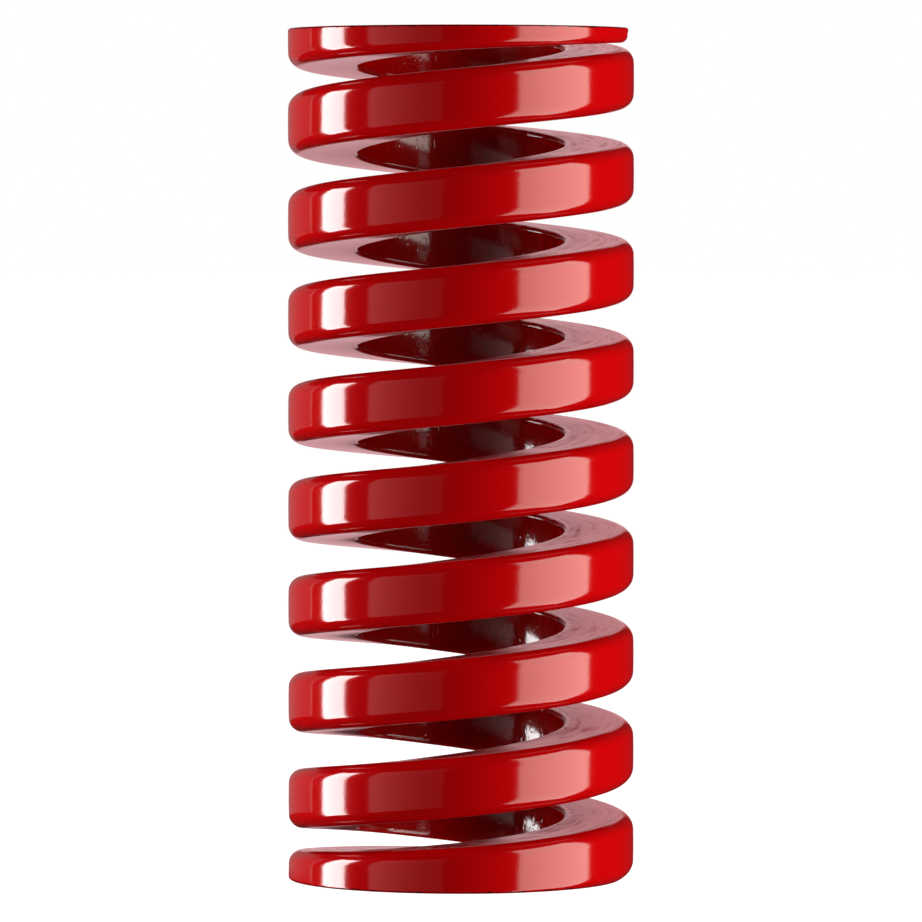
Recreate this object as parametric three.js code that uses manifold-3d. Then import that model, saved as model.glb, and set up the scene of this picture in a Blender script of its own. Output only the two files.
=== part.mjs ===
// A die spring: a heavy-load helical compression spring, cold-coiled from rectangular wire with
// rounded corners. Its two ends are closed and then ground flat, and it is enamelled red all over.
//
// The real spring is one length of wire. Wire can only bend, and the pieces of an assembly can't,
// so the wire is parted by thin radial cuts into the coil that is ground at each end, which stays
// whole, and short stretches of the working coils between them. Each stretch slides along the
// spring's axis by its own share of the deflection, and the pitch closes evenly.
//
// Millimetres. The spring stands on its ground face with its axis on +Z and z = 0 at that face.
import * as THREE from "three";
import { mergeVertices } from "three/addons/utils/BufferGeometryUtils.js";
import Module from "manifold-3d";

// ---- Driving dimensions --------------------------------------------------------------------
const FREE_LENGTH = 76; // between the ground faces, with no load
const OUTER_DIAMETER = 30.9; // runs in a 32 mm hole
const BORE_DIAMETER = 18.2; // runs on a 16 mm rod
const WIRE_HEIGHT = 5.35; // of the section, along the axis
const WIRE_CORNER = 1; // radius on the section's four corners
const TOTAL_TURNS = 9.75;
const END_TURNS = 1; // closed and ground at each end: these don't work
const CLOSING_TURNS = 1.45; // over which the pitch opens from the wire's tip to the working coils
const TIP_THICKNESS = 1.35; // what grinding leaves of the wire at its tip
const TIP_GAP = 0.7; // between the tip and the coil beside it
const TOP_TIP_AZIMUTH = -15; // degrees about +Z, where the wire ends at the top
const QUARTER = 0.25; // turns in a stretch of the working coils
const CUT = 0.3; // width of a radial cut at the wire's centre line
const FACET = 10; // degrees between the sections that a coil is made of
const CORNER_FLATS = 2; // on each rounded corner, an even number
const ENAMEL = { color: 0xc00a10, roughness: 0.22, metalness: 0 };

// ---- What follows from them ----------------------------------------------------------------
const OUTER = OUTER_DIAMETER / 2;
const BORE = BORE_DIAMETER / 2;
const MEAN = (OUTER + BORE) / 2;
const HALF_WIRE = WIRE_HEIGHT / 2;
const BOTTOM_TIP_AZIMUTH = TOP_TIP_AZIMUTH - TOTAL_TURNS * 360;
const WORKING_TURNS = TOTAL_TURNS - 2 * END_TURNS;
const CUT_TURNS = CUT / (2 * Math.PI * MEAN);

// The pitch opens as a parabola over the closing turns. closed() is the share of the whole
// closing that lies between the tip and a point so many turns from it.
const closed = (turns) => 1 - Math.max(0, 1 - turns / CLOSING_TURNS) ** 3;

// The wire drops short of an even helix by CLOSING at each end. It follows from two conditions:
// one turn from a tip the wire clears the tip by TIP_GAP, and both tips keep TIP_THICKNESS.
const FIRST_TURN = WIRE_HEIGHT + TIP_GAP;
const RISE = FREE_LENGTH - 2 * TIP_THICKNESS + WIRE_HEIGHT; // of the centre line, tip to tip
const PITCH = (RISE - (2 * FIRST_TURN) / closed(1)) / (TOTAL_TURNS - 2 / closed(1));
const CLOSING = (PITCH - FIRST_TURN) / closed(1);

// Height of the wire's centre line, so many turns from the bottom tip.
function centreHeight(turns) {
  const lostAtBottom = CLOSING * closed(turns);
  const lostAtTop = CLOSING * (1 - closed(TOTAL_TURNS - turns));
  return TIP_THICKNESS - HALF_WIRE + PITCH * turns - lostAtBottom - lostAtTop;
}

// The wire's section: x is along the spring's axis from the centre line, y is the radius.
function wireSection() {
  const along = HALF_WIRE - WIRE_CORNER;
  const inner = BORE + WIRE_CORNER;
  const outer = OUTER - WIRE_CORNER;
  const quarter = Math.PI / 2;
  return new THREE.Shape()
    .absarc(-along, inner, WIRE_CORNER, 2 * quarter, 3 * quarter)
    .absarc(along, inner, WIRE_CORNER, 3 * quarter, 4 * quarter)
    .absarc(along, outer, WIRE_CORNER, 0, quarter)
    .absarc(-along, outer, WIRE_CORNER, quarter, 2 * quarter);
}

// The places, in turns from the bottom tip, of the sections between two points of the wire.
// They fall on the same azimuths all the way up, so that neighbouring coils share their flats.
function sectionPlaces(from, to) {
  const places = [from];
  const firstFacet = Math.ceil(BOTTOM_TIP_AZIMUTH / FACET) * FACET;
  for (let azimuth = firstFacet; ; azimuth += FACET) {
    const turns = (azimuth - BOTTOM_TIP_AZIMUTH) / 360;
    if (turns > to - CUT_TURNS) break;
    if (turns > from + CUT_TURNS) places.push(turns);
  }
  places.push(to);
  return places;
}

// The wire between two points: its section is extruded straight, and then wound into the helix.
function woundWire(from, to) {
  const places = sectionPlaces(from, to);
  const steps = places.length - 1;
  // A shape divides an arc into twice its curve segments.
  const curveSegments = CORNER_FLATS / 2;
  const options = { depth: 1, steps, bevelEnabled: false, curveSegments };
  const wire = new THREE.ExtrudeGeometry(wireSection(), options);
  const position = wire.getAttribute("position");
  for (let i = 0; i < position.count; i++) {
    const turns = places[Math.round(position.getZ(i) * steps)];
    const azimuth = THREE.MathUtils.degToRad(BOTTOM_TIP_AZIMUTH + turns * 360);
    const radius = position.getY(i);
    const height = centreHeight(turns) + position.getX(i);
    position.setXYZ(i, radius * Math.cos(azimuth), radius * Math.sin(azimuth), height);
  }
  return wire;
}

// ---- Grinding the ends flat ----------------------------------------------------------------
const wasm = await Module();
wasm.setup();

function solidFrom(geometry) {
  const bare = geometry.clone().deleteAttribute("normal").deleteAttribute("uv");
  const merged = mergeVertices(bare, 1e-4);
  return new wasm.Manifold(
    new wasm.Mesh({
      numProp: 3,
      vertProperties: merged.getAttribute("position").array,
      triVerts: new Uint32Array(merged.index.array),
    }),
  );
}

function geometryFrom(solid) {
  const mesh = solid.getMesh();
  const geometry = new THREE.BufferGeometry();
  geometry.setAttribute("position", new THREE.BufferAttribute(mesh.vertProperties, 3));
  geometry.setIndex(new THREE.BufferAttribute(mesh.triVerts, 1));
  const flat = geometry.toNonIndexed();
  flat.computeVertexNormals();
  return flat;
}

// Takes away all of the wire beyond a ground face: side is -1 at the bottom and 1 at the top.
function ground(wire, side) {
  const stock = new THREE.BoxGeometry(2 * OUTER_DIAMETER, 2 * OUTER_DIAMETER, FREE_LENGTH);
  stock.translate(0, 0, FREE_LENGTH / 2 + side * FREE_LENGTH);
  return geometryFrom(solidFrom(wire).subtract(solidFrom(stock)));
}

// ---- The assembly --------------------------------------------------------------------------
const spring = new THREE.Group();

function addPiece(name, geometry) {
  const piece = new THREE.Mesh(geometry, new THREE.MeshStandardMaterial(ENAMEL));
  piece.name = name;
  spring.add(piece);
}

const firstWorking = END_TURNS;
const lastWorking = TOTAL_TURNS - END_TURNS;
const halfCut = CUT_TURNS / 2;

addPiece("bottom_end_coil", ground(woundWire(0, firstWorking - halfCut), -1));

// The working coils, from the bottom up: coil_1_quarter_1, coil_1_quarter_2, ...
const stretches = Math.round(WORKING_TURNS / QUARTER);
const perCoil = Math.round(1 / QUARTER);
for (let i = 0; i < stretches; i++) {
  const from = firstWorking + (WORKING_TURNS * i) / stretches + halfCut;
  const to = firstWorking + (WORKING_TURNS * (i + 1)) / stretches - halfCut;
  const coil = Math.floor(i / perCoil) + 1;
  const quarter = (i % perCoil) + 1;
  addPiece(`coil_${coil}_quarter_${quarter}`, woundWire(from, to));
}

addPiece("top_end_coil", ground(woundWire(lastWorking + halfCut, TOTAL_TURNS), 1));

export default spring;
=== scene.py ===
# %% [markdown]
# # A die spring in red enamel
#
# A die spring is a short and very strong compression spring. Its wire is rectangular, with rounded
# corners, so that more steel fits into the same hole than with round wire. The wire is wound into a
# helix, the two ends are closed up against their neighbours and ground flat, and the whole spring
# is enamelled: the colour says how strong it is, and red is a heavy load.
#
# This notebook models the spring around its fixed frame, which is the CAD model. The frame gives the
# size, the place and the bodies that move. Nothing here moves or resizes it.

import math

import bmesh
import bpy
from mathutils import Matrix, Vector
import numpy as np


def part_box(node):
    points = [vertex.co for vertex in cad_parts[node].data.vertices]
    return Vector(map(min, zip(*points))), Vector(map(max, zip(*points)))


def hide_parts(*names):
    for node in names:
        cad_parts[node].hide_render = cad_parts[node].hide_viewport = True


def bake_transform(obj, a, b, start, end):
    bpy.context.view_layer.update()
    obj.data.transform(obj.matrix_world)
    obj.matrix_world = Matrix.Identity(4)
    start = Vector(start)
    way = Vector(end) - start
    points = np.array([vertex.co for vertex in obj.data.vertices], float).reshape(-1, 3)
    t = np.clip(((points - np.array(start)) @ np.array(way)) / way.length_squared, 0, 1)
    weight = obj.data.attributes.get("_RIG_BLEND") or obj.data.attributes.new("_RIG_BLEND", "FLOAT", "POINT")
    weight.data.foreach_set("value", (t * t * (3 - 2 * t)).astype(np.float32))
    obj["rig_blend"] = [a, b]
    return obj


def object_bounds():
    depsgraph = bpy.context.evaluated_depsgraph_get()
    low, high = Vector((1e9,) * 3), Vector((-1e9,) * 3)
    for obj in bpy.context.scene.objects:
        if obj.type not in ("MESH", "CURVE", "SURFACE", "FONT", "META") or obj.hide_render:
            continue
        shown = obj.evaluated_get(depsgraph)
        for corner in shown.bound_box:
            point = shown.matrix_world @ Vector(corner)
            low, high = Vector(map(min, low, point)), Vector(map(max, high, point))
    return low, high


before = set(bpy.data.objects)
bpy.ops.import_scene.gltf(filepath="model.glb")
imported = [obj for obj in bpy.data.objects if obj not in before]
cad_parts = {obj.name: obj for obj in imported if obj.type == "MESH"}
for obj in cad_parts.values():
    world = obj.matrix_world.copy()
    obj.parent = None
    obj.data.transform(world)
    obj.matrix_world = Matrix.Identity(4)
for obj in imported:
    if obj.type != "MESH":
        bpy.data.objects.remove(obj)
cad_low, cad_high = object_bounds()
print("CAD box, metres:", tuple(cad_low), tuple(cad_high))

# %% [markdown]
# ## The sizes
#
# The outside diameter and the free length are those of the frame's own box. The section, the turns
# and the way that the ends close are a spring winder's settings. They can't be read off a box, so
# they are written here once, and all heights along the wire follow from them.

# %% The winder's settings
MM = 0.001
OUTER = (cad_high.x - cad_low.x) / 2
FREE_LENGTH = cad_high.z - cad_low.z
BORE = 9.1 * MM
WIRE_HEIGHT = 5.35 * MM
WIRE_WIDTH = OUTER - BORE
CORNER = 1.25 * MM
INNER_CORNER = 0.4 * MM

TURNS = 9.75
END_TURNS = 1.0
CLOSING_TURNS = 1.45
TIP_THICKNESS = 1.35 * MM
TIP_GAP = 0.7 * MM
TOP_TIP_AZIMUTH = math.radians(-15)

MEAN_RADIUS = (OUTER + BORE) / 2
WIRE_LENGTH = TURNS * math.tau * MEAN_RADIUS
print(f"wire {WIRE_WIDTH / MM:.2f} x {WIRE_HEIGHT / MM:.2f} mm, {WIRE_LENGTH / MM:.0f} mm long")

# %% [markdown]
# ## The path of the wire
#
# A spring winder sets the pitch turn by turn. Over about a turn and a half from each tip the pitch
# opens from little more than a third to its full value, which is what closes the ends. A power of
# three gives that easing without a kink. Two facts fix the rest: what grinding leaves of the tip, and
# the gap between the tip and the coil beside it.

# %% Height of the wire's centre line


def closed(turns):
    """The share of the whole closing that lies within so many turns of a tip."""
    return 1 - max(0.0, 1 - turns / CLOSING_TURNS) ** 3


FIRST_TURN = WIRE_HEIGHT + TIP_GAP
RISE = FREE_LENGTH - 2 * TIP_THICKNESS + WIRE_HEIGHT
PITCH = (RISE - 2 * FIRST_TURN / closed(1)) / (TURNS - 2 / closed(1))
CLOSING = (PITCH - FIRST_TURN) / closed(1)


def centre_height(turns):
    """How high the wire's centre line is, so many turns from the bottom tip."""
    lost = CLOSING * (closed(turns) + 1 - closed(TURNS - turns))
    return TIP_THICKNESS - WIRE_HEIGHT / 2 + PITCH * turns - lost


print(f"pitch of the working coils {PITCH / MM:.3f} mm, gap {(PITCH - WIRE_HEIGHT) / MM:.3f} mm")

# %% [markdown]
# ## A straight bar
#
# The wire comes straight off its reel, so it starts here as a straight bar too: a cube, stretched to
# the section and the whole length, with its long edges bevelled. Bevelling a cube is quicker and
# cleaner than drawing a rounded outline point by point. Loops across every face, with one close to
# each corner, keep the shading even, which matters on a glossy finish: without them a highlight would
# swell in the middle of a face. The edges of the two sawn ends are bevelled last.

# %% Bevel and divide the bar
CORNER_SEGMENTS = 8
SUPPORT = 0.12 * MM
LOOPS = (-1, -0.5, 0, 0.5, 1)
TIP_EDGE = 0.5 * MM
TIP_SEGMENTS = 4
STEPS = 1560
NEAR_ENOUGH = 0.01 * MM
SAME_PLACE = 1e-5 * MM


def at_an_end(point):
    return abs(point.co.x) > WIRE_LENGTH / 2 - NEAR_ENOUGH


def long_edges(bar):
    return [e for e in bar.edges if abs(e.verts[0].co.x - e.verts[1].co.x) > WIRE_LENGTH / 2]


def straight_bar():
    """The wire before it is coiled: its length on X, its width on Y and its height on Z."""
    bar = bmesh.new()
    bmesh.ops.create_cube(bar, size=1)
    bmesh.ops.scale(bar, vec=(WIRE_LENGTH, WIRE_WIDTH, WIRE_HEIGHT), verts=bar.verts)
    bmesh.ops.bevel(
        bar, geom=long_edges(bar), offset=CORNER, offset_type="OFFSET",
        segments=CORNER_SEGMENTS, profile=0.5, affect="EDGES", material=-1,
    )
    for across, extent in ((Vector((0, 1, 0)), WIRE_WIDTH), (Vector((0, 0, 1)), WIRE_HEIGHT)):
        flat = extent / 2 - CORNER - SUPPORT
        for share in LOOPS:
            bmesh.ops.bisect_plane(
                bar, geom=bar.verts[:] + bar.edges[:] + bar.faces[:], dist=SAME_PLACE,
                plane_co=across * flat * share, plane_no=across,
            )
    for side in (-1, 1):
        sawn = [f for f in bar.faces if all(at_an_end(v) and v.co.x * side > 0 for v in f.verts)]
        end = bmesh.ops.dissolve_faces(bar, faces=sawn)["region"][0]
        bmesh.ops.bevel(
            bar, geom=list(end.edges), offset=TIP_EDGE, offset_type="OFFSET",
            segments=TIP_SEGMENTS, profile=0.5, affect="EDGES", material=-1,
        )
    bmesh.ops.subdivide_edges(bar, edges=long_edges(bar), cuts=STEPS - 1, use_grid_fill=True)
    return bar


wire = straight_bar()
print("the bar has", len(wire.verts), "points and", len(wire.faces), "faces")

# %% [markdown]
# ## Laying the skin out flat
#
# A finish can be baked to a picture only if every face has a place of its own in that picture. Seen
# from above, the coils of a spring hide each other, so an automatic layout would stack them. The
# straight bar is easy: its skin is slit along the inner face, opened flat and cut across into rows of
# equal length. The two sawn ends go into a narrow row of their own.

# %% Give every face its place in the baked picture
ROWS = 6
ENDS_ROW = 0.05
ENDS_APART = 0.25
MARGIN = 0.01


def lay_out(bar):
    """Fills the map that the finish is baked through, which goes by the name OFBake."""
    layout = bar.loops.layers.uv.new("OFBake")
    half = WIRE_LENGTH / 2 - TIP_EDGE
    row_height = (1 - ENDS_ROW) / ROWS
    ends_scale = (1 - 2 * MARGIN) * ENDS_ROW / WIRE_WIDTH
    for face in bar.faces:
        middle = face.calc_center_median()
        row = math.floor((middle.x / half + 1) / 2 * ROWS)
        for corner in face.loops:
            along, across, up = corner.vert.co
            if abs(middle.x) > half:
                u = 0.5 + math.copysign(ENDS_APART, middle.x) + across * ends_scale
                v = 1 - ENDS_ROW / 2 + up * ends_scale
            else:
                turn = math.copysign(math.atan2(abs(up), across), middle.z) / math.tau + 0.5
                u = MARGIN + ((along / half + 1) / 2 * ROWS - row) * (1 - 2 * MARGIN)
                v = (row + MARGIN + turn * (1 - 2 * MARGIN)) * row_height
            corner[layout].uv = (u, v)


lay_out(wire)
print("rows of", round(WIRE_LENGTH / ROWS / MM), "mm of wire")

# %% [markdown]
# ## Grinding
#
# Grinding takes away whatever lies beyond two parallel planes. A boolean cut would do it, but it
# would leave a ragged, sharp edge through the middle of the faces. Here each section of the bar is
# squeezed instead: its upper and lower limits stop at the planes, and its corners shrink from the
# wire's own radius to the small one that enamel leaves on a ground edge. The faces stay even.
#
# The outer and inner faces are also given the slight crown of drawn wire, so that a reflection bends
# as it nears an edge.

# %% Fit one section between the ground faces
GROUND_EDGE = 0.22 * MM
CORNER_SHARE = 0.45
CROWN = 0.06 * MM
HALF_WIDTH = WIRE_WIDTH / 2
HALF_HEIGHT = WIRE_HEIGHT / 2


def squeezed(turns, drawn):
    """The section's lowest and highest level, and the radius of its corners at each of them.

    No corner takes more than a certain share of what is left of the height.
    """
    centre = centre_height(turns)
    floor = max(centre - HALF_HEIGHT, 0)
    ceiling = min(centre + HALF_HEIGHT, FREE_LENGTH)
    corners = []
    for taken in (floor - centre + HALF_HEIGHT, centre + HALF_HEIGHT - ceiling):
        corner = max(drawn - taken, GROUND_EDGE)
        corners.append(min(corner, CORNER_SHARE * (ceiling - floor)))
    return floor, ceiling, corners


def ground_section(across, up, turns):
    """Radius and height of a point of the bar's section, at so many turns from the bottom tip."""
    floor, ceiling, corners = squeezed(turns, CORNER if across > 0 else INNER_CORNER)
    corner = corners[1] if up > 0 else corners[0]

    flat = HALF_HEIGHT - CORNER
    share = (min(max(up, -flat), flat) + flat) / (2 * flat)
    low, high = floor + corners[0], ceiling - corners[1]
    height = low + (high - low) * share
    height += math.copysign(max(abs(up) - flat, 0) * corner / CORNER, up)

    flat = HALF_WIDTH - CORNER
    side = min(abs(across), flat) * (HALF_WIDTH - corner) / flat
    side += max(abs(across) - flat, 0) * corner / CORNER
    crown = CROWN * ((height - centre_height(turns)) / HALF_HEIGHT) ** 2
    side -= crown * abs(across) / HALF_WIDTH
    return MEAN_RADIUS + math.copysign(side, across), height


print(f"the tip is {ground_section(0, HALF_HEIGHT, 0)[1] / MM:.2f} mm thick")

# %% [markdown]
# ## Winding
#
# A spin with a climb in it could wind a section into a helix, but only with one pitch all the way.
# This pitch changes, so each point of the bar is carried onto the helix instead: how far along the bar
# it is becomes an angle and a climb. Two values stay with each point, for the finish. One is its place
# in the straight bar, so that a pattern follows the wire and moves with it when the spring is pressed.
# The other is how far it lies from the nearer ground face.

# %% Wind the bar
BOTTOM_TIP_AZIMUTH = TOP_TIP_AZIMUTH - TURNS * math.tau


def turns_of(along):
    return along / (math.tau * MEAN_RADIUS) + TURNS / 2


def wind(bar):
    """Carries every point to its place on the helix. The faces are smooth, apart from the two ends."""
    in_bar = bar.verts.layers.float_vector.new("in_bar")
    from_face = bar.verts.layers.float.new("from_ground_face")
    for point in bar.verts:
        along, across, up = point.co
        point[in_bar] = point.co.copy()
        turns = turns_of(along)
        azimuth = BOTTOM_TIP_AZIMUTH + turns * math.tau
        radius, height = ground_section(across, up, turns)
        point[from_face] = min(height, FREE_LENGTH - height)
        point.co = (radius * math.cos(azimuth), radius * math.sin(azimuth), height)
    for face in bar.faces:
        face.smooth = len(face.verts) == 4


wind(wire)
wire_mesh = bpy.data.meshes.new("enamelled_wire")
wire.to_mesh(wire_mesh)
wire.free()
spring = bpy.data.objects.new("enamelled_wire", wire_mesh)
bpy.context.collection.objects.link(spring)
print("wound:", len(wire_mesh.polygons), "faces")

# %% [markdown]
# ## Joining it to the frame
#
# The frame has the wire in many short nodes, because a rigid body can't bend. The real wire is one
# length, so this one piece stands for them all. It bends between the two end coils: each point has a
# share of the travel, which is 0 on the bottom end coil and 1 on the top one, and grows evenly along
# the wire between them. Even growth is what closes the pitch by the same amount in every coil.

# %% Bend between the end coils


def middle_height(node):
    low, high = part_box(node)
    return low.z + high.z


nodes = sorted(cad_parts, key=middle_height)
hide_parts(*nodes)
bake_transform(spring, nodes[0], nodes[-1], start=(0, 0, 0), end=(0, 0, FREE_LENGTH))

shares = wire_mesh.attributes["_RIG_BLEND"].data
for share, place in zip(shares, wire_mesh.attributes["in_bar"].data):
    working = (turns_of(place.vector.x) - END_TURNS) / (TURNS - 2 * END_TURNS)
    share.value = min(max(working, 0), 1)
print("stands for", len(nodes), "nodes, between", nodes[0], "and", nodes[-1])

# %% [markdown]
# ## Shader maths
#
# A finish is easier to read as arithmetic than as a drawing of nodes. This small class wraps a
# socket, and each operator on it adds the Math node that does the sum.

# %% A socket that Python can reckon with


class Wave:
    """The value of a node's socket, which varies over a surface."""

    def __init__(self, finish, socket):
        self.finish = finish
        self.socket = socket

    def maths(self, operation, *numbers):
        return self.finish.add("ShaderNodeMath", {"operation": operation}, dict(enumerate(numbers)))

    def __add__(self, other):
        return self.maths("ADD", self, other)

    def __radd__(self, other):
        return self.maths("ADD", other, self)

    def __sub__(self, other):
        return self.maths("SUBTRACT", self, other)

    def __rsub__(self, other):
        return self.maths("SUBTRACT", other, self)

    def __mul__(self, other):
        return self.maths("MULTIPLY", self, other)

    def __rmul__(self, other):
        return self.maths("MULTIPLY", other, self)

    def rises(self, low, high):
        """0 up to low, 1 from high on, and an even ease between them. It falls if low is higher."""
        settings = {"interpolation_type": "SMOOTHSTEP"}
        values = {"Value": self, "From Min": low, "From Max": high}
        return self.finish.add("ShaderNodeMapRange", settings, values)


class Finish:
    """The nodes of a material, or of the surroundings, while they are put together."""

    def __init__(self, owner):
        owner.use_nodes = True
        self.tree = owner.node_tree
        self.tree.nodes.clear()

    def add(self, kind, settings=None, values=None, out=0):
        """Adds a node: its settings first, then the values or links of its sockets."""
        node = self.tree.nodes.new(kind)
        for name, setting in (settings or {}).items():
            setattr(node, name, setting)
        for name, value in (values or {}).items():
            if isinstance(value, Wave):
                self.tree.links.new(value.socket, node.inputs[name])
            else:
                node.inputs[name].default_value = value
        return Wave(self, node.outputs[out]) if node.outputs else node


# %% [markdown]
# ## The enamel
#
# The enamel is sprayed on thick and baked. It is glossy, but never flat: it has a fine orange peel and
# a slower swell, both about a hundredth of a millimetre high or less. The spray gun looks at the outer
# face, so the rest is worse covered: the upper face is dry and streaky, and the inner face is pimpled.
# The inner face is also painted darker, as painted shade for the bore, where little light gets in. A
# pale line along the sharp corner between them is a painted highlight of light that grazes it. The
# ground edges show a fine dark line, broken by chips.
#
# A picture could be painted for each of these. Patterns that are worked out from the place in the
# straight bar need no picture, have no seams, and follow the wire round every coil.

# %% Patterns and layers of colour
BELOW, ABOVE, MIXED = 6, 7, 2


def noise(paint, place, size, detail=1):
    """A cloudy pattern with patches of about this size."""
    return paint.add("ShaderNodeTexNoise", values={"Vector": place, "Scale": 1 / size, "Detail": detail})


def over(paint, share, below, above):
    """The colour above covers the one below by a share from 0 to 1.

    The node has sockets of the same names for numbers, so those for colours go by their places.
    """
    sockets = {"Factor": share, BELOW: below, ABOVE: above}
    return paint.add("ShaderNodeMix", {"data_type": "RGBA"}, sockets, out=MIXED)


# %% The relief of the coat
PEEL_SIZE, PEEL_HEIGHT = 0.33 * MM, 0.003 * MM
SWELL_SIZE, SWELL_HEIGHT = 2.9 * MM, 0.0105 * MM
PIMPLE_SIZE, PIMPLE_HEIGHT = 0.5 * MM, 0.0066 * MM
CALMER_INSIDE = 0.7


def relief(paint, place, inside):
    """How high the coat stands: there is peel all over, less swell inside, and pimples only there."""
    peel = noise(paint, place, PEEL_SIZE)
    swell = noise(paint, place, SWELL_SIZE) * (1 - inside * CALMER_INSIDE)
    pimples = noise(paint, place, PIMPLE_SIZE).rises(0.57, 0.72) * inside
    return peel * PEEL_HEIGHT + swell * SWELL_HEIGHT + pimples * PIMPLE_HEIGHT


print(f"relief up to {(PEEL_HEIGHT + SWELL_HEIGHT) / MM:.4f} mm outside")

# %% Lines along the edges
WAVER_SIZE, WAVER = 0.9 * MM, 0.6 * CORNER
CHIP_SIZE, EDGE_LINE = 0.5 * MM, 0.1 * MM


def painted_highlight_line(paint, place, across):
    """A painted highlight: a wavering pale line along the inner corners, where light grazes the gloss."""
    wavy = across + (noise(paint, place, WAVER_SIZE) - 0.5) * WAVER
    flat_start = -HALF_WIDTH + CORNER
    begins = wavy.rises(flat_start - 0.65 * CORNER, flat_start - 0.4 * CORNER)
    return begins * wavy.rises(flat_start + 0.25 * CORNER, flat_start)


def edge_line(paint, place, up):
    """The dark line just beside a ground face, twice as wide where it is chipped.

    It keeps to the sides and corners of the wire, and off its upper and lower face.
    """
    from_face = paint.add("ShaderNodeAttribute", {"attribute_name": "from_ground_face"}, out="Fac")
    reach = (noise(paint, place, CHIP_SIZE).rises(0.5, 0.62) + 1) * EDGE_LINE
    beside = (reach - from_face).rises(0, EDGE_LINE / 4) * from_face.rises(0, EDGE_LINE / 10)
    level = up.maths("ABSOLUTE", up).rises(HALF_HEIGHT - CORNER / 5, HALF_HEIGHT - CORNER / 10)
    return beside * (1 - level)


print(f"edge line {EDGE_LINE / MM:.1f} to {2 * EDGE_LINE / MM:.1f} mm wide")

# %% Paint the wire
RED = (0.36, 0.0, 0.0008, 1)
SHADE_AND_STREAK_RED = (0.23, 0.0, 0.0, 1)
PAINTED_HIGHLIGHT_PINK = (0.7, 0.42, 0.43, 1)
CHIPPED = (0.02, 0.0, 0.0, 1)
ROUGHNESS = 0.1
STREAK_ROUGHNESS = 0.2
STREAK_SHADE = 0.25
STREAK_SIZE = 0.45 * MM
STREAK_STRETCH = (0.12, 1, 1)


def enamel():
    material = bpy.data.materials.new("red_enamel")
    paint = Finish(material)
    place = paint.add("ShaderNodeAttribute", {"attribute_name": "in_bar"}, out="Vector")
    across = paint.add("ShaderNodeSeparateXYZ", values={"Vector": place}, out="Y")
    up = paint.add("ShaderNodeSeparateXYZ", values={"Vector": place}, out="Z")
    on_top = up.rises(HALF_HEIGHT - CORNER / 2, HALF_HEIGHT - CORNER / 10)
    inside = across.rises(-HALF_WIDTH + CORNER / 3, -HALF_WIDTH + CORNER / 20)

    along_wire = paint.add(
        "ShaderNodeVectorMath", {"operation": "MULTIPLY"}, {0: place, 1: STREAK_STRETCH}
    )
    streaks = noise(paint, along_wire, STREAK_SIZE, detail=2).rises(0.4, 0.8) * on_top
    # Painted shade: the inner face is mixed towards the deep red, because little light reaches the bore. The
    # streaks on the upper face are dry spray.
    colour = over(paint, inside + streaks * STREAK_SHADE, RED, SHADE_AND_STREAK_RED)
    # Painted highlight: a pale line along the inner upper corner, which stands in for light glancing off it.
    colour = over(paint, painted_highlight_line(paint, place, across) * on_top, colour, PAINTED_HIGHLIGHT_PINK)
    colour = over(paint, edge_line(paint, place, up), colour, CHIPPED)

    height = relief(paint, place, inside)
    bump = paint.add("ShaderNodeBump", values={"Strength": 1.0, "Distance": 1.0, "Height": height})
    shader = paint.add(
        "ShaderNodeBsdfPrincipled",
        values={
            "Base Color": colour, "Roughness": ROUGHNESS + streaks * STREAK_ROUGHNESS,
            "IOR": 1.5, "Normal": bump,
        },
    )
    paint.add("ShaderNodeOutputMaterial", values={"Surface": shader})
    return material


wire_mesh.materials.append(enamel())
print("finish:", wire_mesh.materials[0].name)

# %% [markdown]
# ## The floor
#
# A plain white floor. By the light of the cards alone it would read as grey, so it also glows, and is
# as white as the air behind it. The glow is weaker under the spring, where a real floor lies in the
# shade. The floor is hidden from every ray except those that the camera sends, so it puts no picture
# of itself into the gloss.

# %% A plain floor
FLOOR_RADIUS = 6.0
FLOOR_GREY = (0.3, 0.3, 0.3, 1)
GLOW_UNDER, GLOW_ROUND = 0.7, 1.0
WHITE = (1, 1, 1, 1)


def studio_thing(name, mesh, material):
    """Adds a thing of the studio, which isn't part of the spring."""
    mesh.materials.append(material)
    thing = bpy.data.objects.new(name, mesh)
    bpy.context.collection.objects.link(thing)
    thing.visible_shadow = False
    return thing


def white_paper():
    material = bpy.data.materials.new("white_paper")
    paper = Finish(material)
    place = paper.add("ShaderNodeTexCoord", out="Object")
    far = paper.add("ShaderNodeVectorMath", {"operation": "LENGTH"}, {0: place}, out="Value")
    glow = far.rises(0.0, OUTER) * (GLOW_ROUND - GLOW_UNDER) + GLOW_UNDER
    shader = paper.add(
        "ShaderNodeBsdfPrincipled",
        values={
            "Base Color": FLOOR_GREY, "Roughness": 1.0, "Specular IOR Level": 0,
            "Emission Color": WHITE, "Emission Strength": glow,
        },
    )
    paper.add("ShaderNodeOutputMaterial", values={"Surface": shader})
    return material


def white_floor():
    disc = bmesh.new()
    bmesh.ops.create_circle(disc, cap_ends=True, segments=64, radius=FLOOR_RADIUS)
    mesh = bpy.data.meshes.new("floor")
    disc.to_mesh(mesh)
    disc.free()
    floor = studio_thing("floor", mesh, white_paper())
    floor.visible_glossy = False
    floor.visible_diffuse = False


white_floor()
print("floor of radius", FLOOR_RADIUS, "m")

# %% [markdown]
# ## The light
#
# Small glossy things are lit by cards that stand round them, because what shows in the gloss is the
# shape of the light. Flat area lights would do too, but an arc of a cylinder round the spring is
# equally far from it all over, and its place can be given in degrees. So each card is an upright
# edge, spun about the spring's axis. Its glow may differ from one side to the other.

# %% Cards of light
CARD_DISTANCE = 0.30
CARD_MIDDLE = FREE_LENGTH / 2
CARD_FACET = 5
PINK = (1, 0.58, 0.62, 1)
WARM = (1, 0.98, 0.9, 1)


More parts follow.
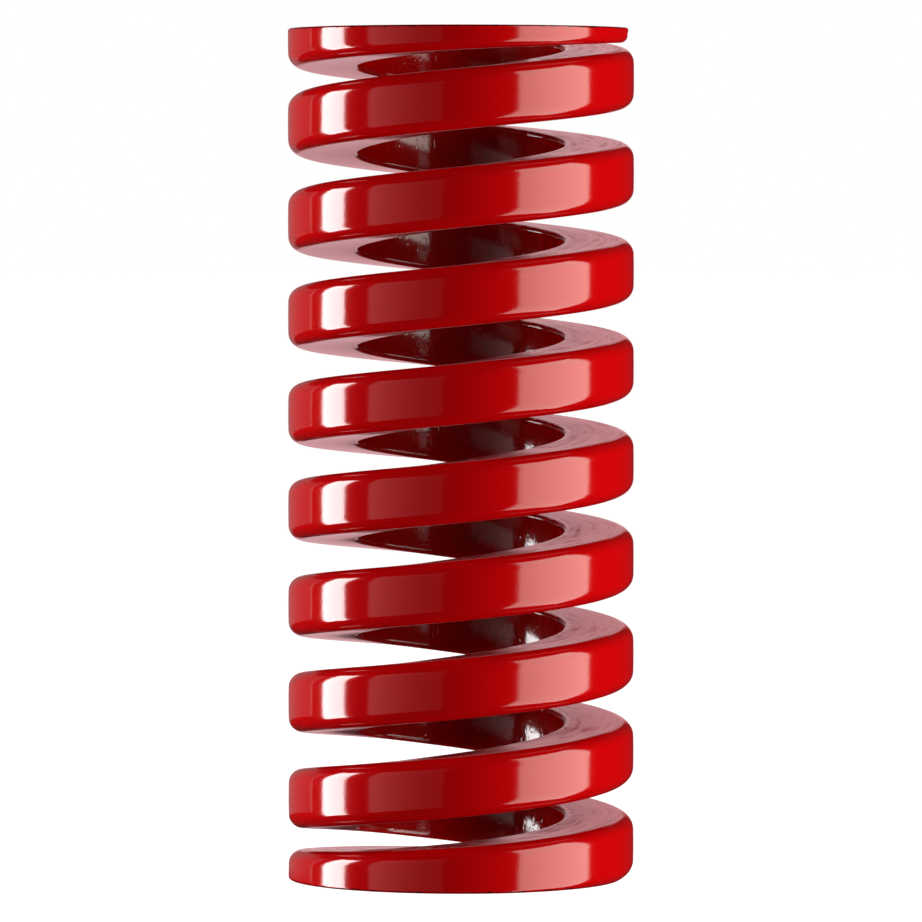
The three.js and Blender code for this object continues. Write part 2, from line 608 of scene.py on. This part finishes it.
def arc_of_card(name, sides, levels):
    """An upright edge at the card's left side, spun round to its right side."""
    left, right = sides
    start = math.radians(left - 90)
    foot = Vector((math.cos(start), math.sin(start), 0)) * CARD_DISTANCE
    arc = bmesh.new()
    ends = []
    for level in levels:
        height = CARD_MIDDLE + CARD_DISTANCE * math.tan(math.radians(level))
        ends.append(arc.verts.new(foot + Vector((0, 0, height))))
    edge = arc.edges.new(ends)
    bmesh.ops.spin(
        arc, geom=ends + [edge], axis=(0, 0, 1), cent=(0, 0, 0), angle=math.radians(right - left),
        steps=max(round((right - left) / CARD_FACET), 1), use_merge=False,
    )
    mesh = bpy.data.meshes.new(name)
    arc.to_mesh(mesh)
    arc.free()
    return mesh


def glow_of_card(name, sides, glows, soft, tint):
    """Goes from the left glow to the right one, quickly at first, and fades out at both sides."""
    material = bpy.data.materials.new(name)
    paper = Finish(material)
    place = paper.add("ShaderNodeTexCoord", out="Object")
    x = paper.add("ShaderNodeSeparateXYZ", values={"Vector": place}, out="X")
    y = paper.add("ShaderNodeSeparateXYZ", values={"Vector": place}, out="Y")
    middle = math.radians(sum(sides) / 2)
    width = math.radians(sides[1] - sides[0])
    ahead = x * math.sin(middle) - y * math.cos(middle)
    aside = x * math.cos(middle) + y * math.sin(middle)
    share = aside.maths("ARCTAN2", aside, ahead) * (1 / width) + 0.5
    rest = 1 - share
    glow = rest * rest * (glows[0] - glows[1]) + glows[1]
    glow = glow * share.rises(0, soft) * share.rises(1, 1 - soft)
    lamp = paper.add("ShaderNodeEmission", values={"Color": tint, "Strength": glow})
    paper.add("ShaderNodeOutputMaterial", values={"Surface": lamp})
    return material


def card(name, sides, levels, glows, soft, tint=WHITE):
    """A card between two azimuths and two elevations. It fades over a soft share at each side.

    Azimuth 0 is in front of the spring, where the camera is, and 90 is on the camera's right.
    """
    material = glow_of_card(name, sides, glows, soft, tint)
    piece = studio_thing(name, arc_of_card(name, sides, levels), material)
    piece.visible_camera = False
    print(f"{name}: {sides[0]} to {sides[1]} degrees round, {levels[0]} to {levels[1]} up")


card("key_strip", (-104.4, -81), (-28, 28), (16.5, 16.5), soft=0.1)
card("dim_card", (-63.5, -10.5), (-26, 28), (0.82, 0.14), soft=0.04)
card("broad_card", (36, 94), (-46, 48), (3.6, 5.5), soft=0.06, tint=WARM)
card("left_card", (-174, -118), (-12, 22), (0.2, 0.22), soft=0.01)
card("left_edge", (-117.8, -115.9), (-12, 22), (1.3, 1.3), soft=0.3)
card("back_card", (168, 190), (-14, 27), (0.84, 0.84), soft=0.1, tint=PINK)

# %% [markdown]
# ## The air behind
#
# The camera sees plain white. A white room would do that too, but it would show in the gloss, so
# everything else sees almost nothing there, and the cards alone light the spring.

# %% White to the camera only
FAINT = 0.02


def surroundings():
    world = bpy.data.worlds.new("studio")
    bpy.context.scene.world = world
    air = Finish(world)
    seen = air.add("ShaderNodeLightPath", out="Is Camera Ray")
    strength = seen * (1 - FAINT) + FAINT
    sky = air.add("ShaderNodeBackground", values={"Color": WHITE, "Strength": strength})
    air.add("ShaderNodeOutputWorld", values={"Surface": sky})


surroundings()
print("light from all round:", FAINT)

# %% [markdown]
# ## The camera
#
# A long lens from more than forty radii away, so that all coils come out the same size. It is level
# with the upper coils: they are seen edge on, and those near the bottom slightly from above.

# %% A long lens
LENS_DISTANCE = 42.5 * OUTER
LENS_HEIGHT = 3.893 * OUTER
SEEN_WIDTH = 5.3328 * OUTER
SENSOR = 36.0
TILT = math.radians(1.985)


def long_lens():
    lens = bpy.data.cameras.new("camera")
    lens.sensor_width = SENSOR
    lens.lens = SENSOR * LENS_DISTANCE / SEEN_WIDTH
    camera = bpy.data.objects.new("camera", lens)
    camera.location = (0, -LENS_DISTANCE, LENS_HEIGHT)
    camera.rotation_euler = (math.pi / 2 - TILT, 0, 0)
    bpy.context.collection.objects.link(camera)
    bpy.context.scene.camera = camera
    bpy.context.scene.view_settings.view_transform = "Standard"
    print(f"lens {lens.lens:.0f} mm at {LENS_DISTANCE:.3f} m")


long_lens()

# %% [markdown]
# ## The last step
#
# The finished wire has to fill the same box as the frame. Here the scene is brought up to date.

# %% Bring the scene up to date
bpy.context.view_layer.update()
